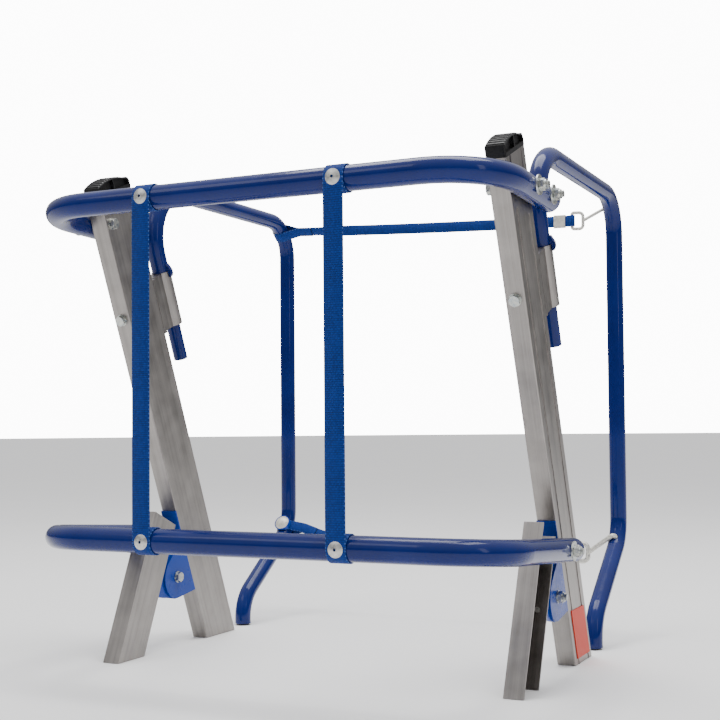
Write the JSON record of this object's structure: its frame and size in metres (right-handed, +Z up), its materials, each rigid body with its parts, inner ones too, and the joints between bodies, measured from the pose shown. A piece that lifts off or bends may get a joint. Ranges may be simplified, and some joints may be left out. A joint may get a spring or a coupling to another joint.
{
  "type": "folding stepladder guard-rail section",
  "caption": "Guard-rail head of a folding platform stepladder: leaning box stiles, folding short legs, U rails, webbing straps, lift-out side hoops and hook-on safety belts.",
  "frame": {"origin": "on the plane of the members' cut ends, below the middle of the section's bounding box", "axes": "+Z up; +X to the right of a person facing the two front rails; +Y from the front rails back to the hoops' rear legs"},
  "size_m": [0.6764, 0.6706, 0.6745],
  "materials": {
    "aluminium": "satin extruded",
    "painted_tube": "gloss powder coat",
    "painted_bracket": "gloss powder coat",
    "zinc_steel": "zinc plated",
    "hook_steel": "zinc plated",
    "rivet_aluminium": "bright",
    "black_plastic": "moulded",
    "webbing": "woven",
    "label_film": "printed film, blank"
  },
  "bodies": {
    "frame": {"stile_left": "aluminium", "stile_right": "aluminium", "stile_cap_left": "black_plastic", "stile_cap_right": "black_plastic", "top_rail": "painted_tube", "top_rail_bolts": "zinc_steel", "top_rail_washers": "zinc_steel", "top_rail_nuts": "zinc_steel", "sleeve_left": "aluminium", "sleeve_right": "aluminium", "sleeve_bolts": "zinc_steel", "sleeve_washers": "zinc_steel", "hinge_bracket_stile_left": "painted_bracket", "hinge_bracket_stile_right": "painted_bracket", "stile_bracket_rivets": "rivet_aluminium", "hinge_bolts": "zinc_steel", "hinge_washers": "zinc_steel", "hinge_nuts": "zinc_steel", "hinge_bushes": "zinc_steel", "label": "label_film", "strap_left": "webbing", "strap_right": "webbing", "strap_rivets_upper": "rivet_aluminium"},
    "support_legs": {"leg_left": "aluminium", "leg_right": "aluminium", "hinge_bracket_leg_left": "painted_bracket", "hinge_bracket_leg_right": "painted_bracket", "leg_bracket_rivets": "rivet_aluminium", "mid_rail_bolts": "zinc_steel", "mid_rail_washers": "zinc_steel", "mid_rail_nuts": "zinc_steel", "mid_rail_spacers": "zinc_steel"},
    "mid_rail": {"mid_rail": "painted_tube", "strap_rivets_lower": "rivet_aluminium"},
    "hoop_left": {"hoop_left": "painted_tube", "hoop_spigot_left": "painted_tube", "hoop_nib_left": "painted_bracket", "upper_belt_loop": "webbing", "lower_belt_loop": "webbing", "lower_belt_anchor": "zinc_steel", "lower_belt_collar": "painted_bracket"},
    "hoop_right": {"hoop_right": "painted_tube", "hoop_spigot_right": "painted_tube", "hoop_nib_right": "painted_bracket"},
    "upper_belt": {"upper_belt": "webbing", "upper_belt_hook": "hook_steel", "upper_belt_ferrule": "zinc_steel"},
    "lower_belt": {"lower_belt": "webbing", "lower_belt_hook": "hook_steel", "lower_belt_ferrule": "zinc_steel"}
  },
  "joints": [
    {"name": "leg_fold", "type": "hinge", "parent": "frame", "child": "support_legs", "pos_m": [0, -0.04249, 0.1], "axis": [1, 0, 0], "range_deg": [0, 46], "deforming": ["strap_left", "strap_right"]},
    {"name": "mid_rail_pivot", "type": "hinge", "parent": "support_legs", "child": "mid_rail", "pos_m": [0, -0.07374, 0.16135], "axis": [1, 0, 0], "range_deg": [-57, 0]},
    {"name": "hoop_left_lift", "type": "slide", "parent": "frame", "child": "hoop_left", "axis": [0, -0.3875, 0.9219], "range_m": [0, 0.13]},
    {"name": "hoop_right_lift", "type": "slide", "parent": "frame", "child": "hoop_right", "axis": [0, -0.3875, 0.9219], "range_m": [0, 0.13]},
    {"name": "upper_belt_swing", "type": "hinge", "parent": "hoop_left", "child": "upper_belt", "pos_m": [-0.285, 0.30441, 0.64642], "axis": [0, -0.7314, 0.682], "range_deg": [0, 60]},
    {"name": "lower_belt_swing", "type": "hinge", "parent": "hoop_left", "child": "lower_belt", "pos_m": [-0.285, 0.31345, 0.14249], "axis": [0, -0.5592, -0.829], "range_deg": [0, 25]}
  ],
  "couplings": [
    {"joint": "mid_rail_pivot", "follows": "leg_fold", "ratio": -1.222},
    {"joint": "hoop_right_lift", "follows": "hoop_left_lift", "ratio": 1}
  ]
}
